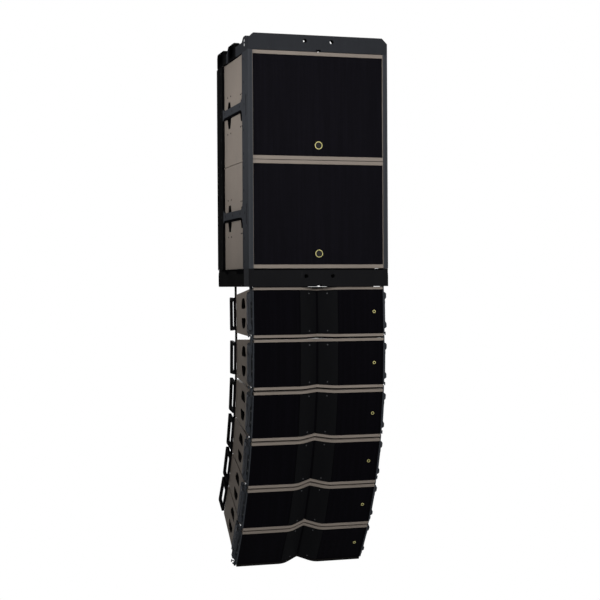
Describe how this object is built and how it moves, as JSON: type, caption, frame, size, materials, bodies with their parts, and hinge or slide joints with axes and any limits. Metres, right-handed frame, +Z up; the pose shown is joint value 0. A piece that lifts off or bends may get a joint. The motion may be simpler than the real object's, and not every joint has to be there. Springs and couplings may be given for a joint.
{
  "type": "line array speaker",
  "caption": "flown line array column: rigging frame over two subwoofers, a transition frame and six splayed wedge modules curving back, hinged at the front and strapped behind",
  "frame": {"origin": "on the flat top of the pick-up bar, in the middle of its width, at the point the hoist hooks into", "axes": "+Z up, -Y is the front that faces the audience, +X to the right seen from the front"},
  "size_m": [0.73, 0.7741, 2.7328],
  "materials": {
    "cabinet": "textured brown-grey paint on plywood",
    "rigging": "slate grey powder coat",
    "frame": "charcoal powder coat",
    "bracket": "black powder coat",
    "grille": "black perforated steel with acoustic cloth",
    "driver": "black basket and waveguide",
    "cone": "black paper cone",
    "panel": "black connector panel"
  },
  "bodies": {
    "flown_frame": {"lower_frame": "frame", "pickup_bar": "frame", "sub_1_cabinet": "cabinet", "sub_1_connector_plate": "panel", "sub_1_grille": "grille", "sub_1_rig_left": "rigging", "sub_1_rig_right": "rigging", "sub_1_woofer": "driver", "sub_2_cabinet": "cabinet", "sub_2_connector_plate": "panel", "sub_2_grille": "grille", "sub_2_rig_left": "rigging", "sub_2_rig_right": "rigging", "sub_2_woofer": "driver", "top_frame": "frame"},
    "module_1": {"module_1_cabinet": "cabinet", "module_1_driver_set": "driver", "module_1_grille": "grille", "module_1_rear_bracket": "bracket", "module_1_rigging_left": "rigging", "module_1_rigging_right": "rigging"},
    "link_1": {"module_1_rear_link": "bracket"},
    "module_2": {"module_2_cabinet": "cabinet", "module_2_driver_set": "driver", "module_2_grille": "grille", "module_2_rear_bracket": "bracket", "module_2_rigging_left": "rigging", "module_2_rigging_right": "rigging"},
    "link_2": {"module_2_rear_link": "bracket"},
    "module_3": {"module_3_cabinet": "cabinet", "module_3_driver_set": "driver", "module_3_grille": "grille", "module_3_rear_bracket": "bracket", "module_3_rigging_left": "rigging", "module_3_rigging_right": "rigging"},
    "link_3": {"module_3_rear_link": "bracket"},
    "module_4": {"module_4_cabinet": "cabinet", "module_4_driver_set": "driver", "module_4_grille": "grille", "module_4_rear_bracket": "bracket", "module_4_rigging_left": "rigging", "module_4_rigging_right": "rigging"},
    "link_4": {"module_4_rear_link": "bracket"},
    "module_5": {"module_5_cabinet": "cabinet", "module_5_driver_set": "driver", "module_5_grille": "grille", "module_5_rear_bracket": "bracket", "module_5_rigging_left": "rigging", "module_5_rigging_right": "rigging"},
    "link_5": {"module_5_rear_link": "bracket"},
    "module_6": {"module_6_cabinet": "cabinet", "module_6_driver_set": "driver", "module_6_grille": "grille", "module_6_rear_bracket": "bracket", "module_6_rigging_left": "rigging", "module_6_rigging_right": "rigging"},
    "link_6": {"module_6_rear_link": "bracket"},
    "cone_1": {"sub_1_cone": "cone"},
    "cone_2": {"sub_2_cone": "cone"}
  },
  "joints": [
    {"name": "splay_1", "type": "hinge", "parent": "flown_frame", "child": "module_1", "pos_m": [0, -0.2924, -1.259], "axis": [1, 0, 0], "range_deg": [0, 5.9]},
    {"name": "strap_1", "type": "hinge", "parent": "flown_frame", "child": "link_1", "pos_m": [0, 0.1026, -1.2065], "axis": [1, 0, 0], "range_deg": [-0.05, 3]},
    {"name": "splay_2", "type": "hinge", "parent": "module_1", "child": "module_2", "pos_m": [0, -0.30081, -1.51786], "axis": [1, 0, 0], "range_deg": [-4.2, 3.9]},
    {"name": "strap_2", "type": "hinge", "parent": "module_1", "child": "link_2", "pos_m": [0, 0.09569, -1.47821], "axis": [1, 0, 0], "range_deg": [-2.15, 2]},
    {"name": "splay_3", "type": "hinge", "parent": "module_2", "child": "module_3", "pos_m": [0, -0.28992, -1.77663], "axis": [1, 0, 0], "range_deg": [-8.2, 0]},
    {"name": "strap_3", "type": "hinge", "parent": "module_2", "child": "link_3", "pos_m": [0, 0.10253, -1.70757], "axis": [1, 0, 0], "range_deg": [-4.15, 0.05]},
    {"name": "splay_4", "type": "hinge", "parent": "module_3", "child": "module_4", "pos_m": [0, -0.24214, -2.03119], "axis": [1, 0, 0], "range_deg": [-8.2, 0]},
    {"name": "strap_4", "type": "hinge", "parent": "module_3", "child": "link_4", "pos_m": [0, 0.1364, -1.90673], "axis": [1, 0, 0], "range_deg": [-4.15, 0.05]},
    {"name": "splay_5", "type": "hinge", "parent": "module_4", "child": "module_5", "pos_m": [0, -0.15846, -2.2763], "axis": [1, 0, 0], "range_deg": [-8.2, 0]},
    {"name": "strap_5", "type": "hinge", "parent": "module_4", "child": "link_5", "pos_m": [0, 0.19839, -2.09899], "axis": [1, 0, 0], "range_deg": [-4.15, 0.05]},
    {"name": "splay_6", "type": "hinge", "parent": "module_5", "child": "module_6", "pos_m": [0, -0.04059, -2.50693], "axis": [1, 0, 0], "range_deg": [-8.2, 0]},
    {"name": "strap_6", "type": "hinge", "parent": "module_5", "child": "link_6", "pos_m": [0, 0.28724, -2.28042], "axis": [1, 0, 0], "range_deg": [-4.15, 0.05]},
    {"name": "cone_travel_1", "type": "slide", "parent": "flown_frame", "child": "cone_1", "axis": [0, 1, 0], "range_m": [-0.01, 0.01], "stiffness_N_per_m": 6000},
    {"name": "cone_travel_2", "type": "slide", "parent": "flown_frame", "child": "cone_2", "axis": [0, 1, 0], "range_m": [-0.01, 0.01], "stiffness_N_per_m": 6000}
  ],
  "couplings": [
    {"joint": "strap_1", "follows": "splay_1", "ratio": 0.5},
    {"joint": "strap_2", "follows": "splay_2", "ratio": 0.5},
    {"joint": "strap_3", "follows": "splay_3", "ratio": 0.5},
    {"joint": "strap_4", "follows": "splay_4", "ratio": 0.5},
    {"joint": "strap_5", "follows": "splay_5", "ratio": 0.5},
    {"joint": "strap_6", "follows": "splay_6", "ratio": 0.5}
  ]
}
